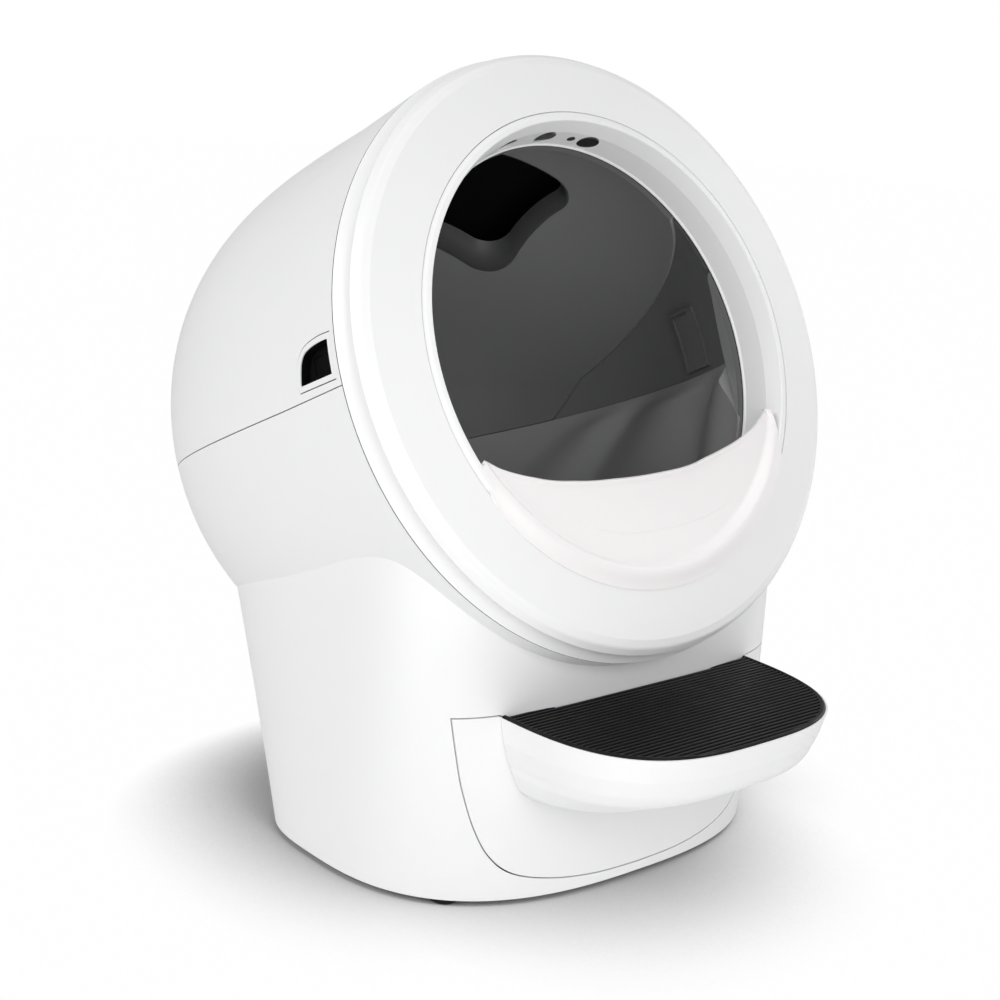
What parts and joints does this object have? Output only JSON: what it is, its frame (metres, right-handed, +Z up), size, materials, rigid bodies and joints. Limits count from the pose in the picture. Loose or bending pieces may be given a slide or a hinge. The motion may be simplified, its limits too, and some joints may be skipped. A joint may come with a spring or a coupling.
{
  "type": "self cleaning litter box",
  "caption": "Self cleaning litter box: a dark globe turns about a tilted axis in a white barrel body, over a waste drawer with a ribbed step.",
  "frame": {"origin": "on the floor under the middle of the overall box", "axes": "+Z up; the entry and the step face -Y; +X is on the right of a viewer who stands in front"},
  "size_m": [0.5684, 0.6964, 0.7348],
  "materials": {
    "black_plastic": "fine grain",
    "board_green": "lacquered",
    "dark_plastic": "fine grain",
    "fence_plastic": "satin moulded",
    "inner_plastic": "plain moulded",
    "liner_rubber": "soft matte",
    "mat_rubber": "ribbed matte",
    "seal_foam": "foam",
    "steel": "plain",
    "white_plastic": "satin moulded"
  },
  "bodies": {
    "base": {"base_shell": "white_plastic", "bottom_plate": "white_plastic", "chute_seal": "seal_foam", "control_board": "board_green", "control_panel": "black_plastic", "deck": "inner_plastic", "drawer_rail_left": "inner_plastic", "drawer_rail_right": "inner_plastic", "foot_front_left": "mat_rubber", "foot_front_right": "mat_rubber", "foot_rear_left": "mat_rubber", "foot_rear_right": "mat_rubber", "front_roller_stand": "inner_plastic", "gear_motor": "steel", "motor_mount": "steel", "position_sensor": "black_plastic", "power_inlet": "black_plastic", "rear_roller_stand": "inner_plastic"},
    "bonnet": {"bonnet_shell": "white_plastic", "latch_housing_right": "white_plastic", "latch_housing_left": "white_plastic"},
    "latch_right": {"latch_paddle_right": "black_plastic"},
    "latch_left": {"latch_paddle_left": "black_plastic"},
    "bezel": {"bezel_ring": "white_plastic", "entry_ring": "white_plastic", "bezel_back_plate": "white_plastic", "sensor_window_1": "black_plastic", "sensor_window_2": "black_plastic", "sensor_window_3": "black_plastic", "sensor_window_4": "black_plastic", "sensor_board": "board_green"},
    "fence": {"litter_fence": "fence_plastic"},
    "globe": {"globe_upper": "dark_plastic", "globe_lower": "dark_plastic", "port_frame": "dark_plastic", "inner_panel": "dark_plastic", "globe_liner": "liner_rubber", "entry_collar": "inner_plastic", "globe_tab": "dark_plastic", "ring_gear": "black_plastic", "rear_track": "black_plastic", "home_magnet": "steel"},
    "pinion": {"drive_pinion": "steel"},
    "roller_front_left": {"roller_front_left": "inner_plastic"},
    "roller_front_right": {"roller_front_right": "inner_plastic"},
    "roller_rear_left": {"roller_rear_left": "inner_plastic"},
    "roller_rear_right": {"roller_rear_right": "inner_plastic"},
    "drawer": {"drawer_front": "white_plastic", "drawer_tray": "inner_plastic", "bag_frame": "dark_plastic", "filter_case": "dark_plastic", "step_body": "white_plastic", "step_mat": "mat_rubber"},
    "button_1": {"panel_button_1": "inner_plastic"},
    "button_2": {"panel_button_2": "inner_plastic"},
    "button_3": {"panel_button_3": "inner_plastic"},
    "button_4": {"panel_button_4": "inner_plastic"}
  },
  "joints": [
    {"name": "bonnet_lift", "type": "slide", "parent": "base", "child": "bonnet", "axis": [0, 0.4147, 0.91], "range_m": [0, 0.3]},
    {"name": "bezel_pull", "type": "slide", "parent": "base", "child": "bezel", "axis": [0, -0.91, 0.4147], "range_m": [0, 0.08]},
    {"name": "fence_pull", "type": "slide", "parent": "bezel", "child": "fence", "axis": [0, -0.91, 0.4147], "range_m": [0, 0.06]},
    {"name": "globe_turn", "type": "hinge", "parent": "base", "child": "globe", "pos_m": [0, -0.1127, 0.4805], "axis": [0, -0.91, 0.4147], "continuous": true},
    {"name": "pinion_turn", "type": "hinge", "parent": "base", "child": "pinion", "pos_m": [0.177, -0.20664, 0.27435], "axis": [0, -0.91, 0.4147], "continuous": true},
    {"name": "drawer_slide", "type": "slide", "parent": "base", "child": "drawer", "axis": [0, -1, 0], "range_m": [0, 0.3]},
    {"name": "latch_push_right", "type": "slide", "parent": "bonnet", "child": "latch_right", "axis": [-0.9974, -0.03, -0.0659], "range_m": [0, 0.0015], "stiffness_N_per_m": 400},
    {"name": "latch_push_left", "type": "slide", "parent": "bonnet", "child": "latch_left", "axis": [0.9974, -0.03, -0.0659], "range_m": [0, 0.0015], "stiffness_N_per_m": 400},
    {"name": "roller_turn_front_left", "type": "hinge", "parent": "base", "child": "roller_front_left", "pos_m": [-0.13015, -0.20618, 0.27537], "axis": [0, -0.91, 0.4147], "continuous": true},
    {"name": "roller_turn_rear_left", "type": "hinge", "parent": "base", "child": "roller_rear_left", "pos_m": [-0.11472, -0.19509, 0.2997], "axis": [0, -0.91, 0.4147], "continuous": true},
    {"name": "roller_turn_front_right", "type": "hinge", "parent": "base", "child": "roller_front_right", "pos_m": [0.13015, -0.20618, 0.27537], "axis": [0, -0.91, 0.4147], "continuous": true},
    {"name": "roller_turn_rear_right", "type": "hinge", "parent": "base", "child": "roller_rear_right", "pos_m": [0.11472, -0.19509, 0.2997], "axis": [0, -0.91, 0.4147], "continuous": true},
    {"name": "button_push_1", "type": "slide", "parent": "base", "child": "button_1", "axis": [-0.9848, 0.072, 0.158], "range_m": [0, 0.001], "stiffness_N_per_m": 500},
    {"name": "button_push_2", "type": "slide", "parent": "base", "child": "button_2", "axis": [-0.9848, 0.072, 0.158], "range_m": [0, 0.001], "stiffness_N_per_m": 500},
    {"name": "button_push_3", "type": "slide", "parent": "base", "child": "button_3", "axis": [-0.9848, 0.072, 0.158], "range_m": [0, 0.001], "stiffness_N_per_m": 500},
    {"name": "button_push_4", "type": "slide", "parent": "base", "child": "button_4", "axis": [-0.9848, 0.072, 0.158], "range_m": [0, 0.001], "stiffness_N_per_m": 500}
  ],
  "couplings": [
    {"joint": "pinion_turn", "follows": "globe_turn", "ratio": -7.8462},
    {"joint": "roller_turn_front_left", "follows": "globe_turn", "ratio": -20.667},
    {"joint": "roller_turn_rear_left", "follows": "globe_turn", "ratio": -18.094},
    {"joint": "roller_turn_front_right", "follows": "globe_turn", "ratio": -20.667},
    {"joint": "roller_turn_rear_right", "follows": "globe_turn", "ratio": -18.094}
  ]
}
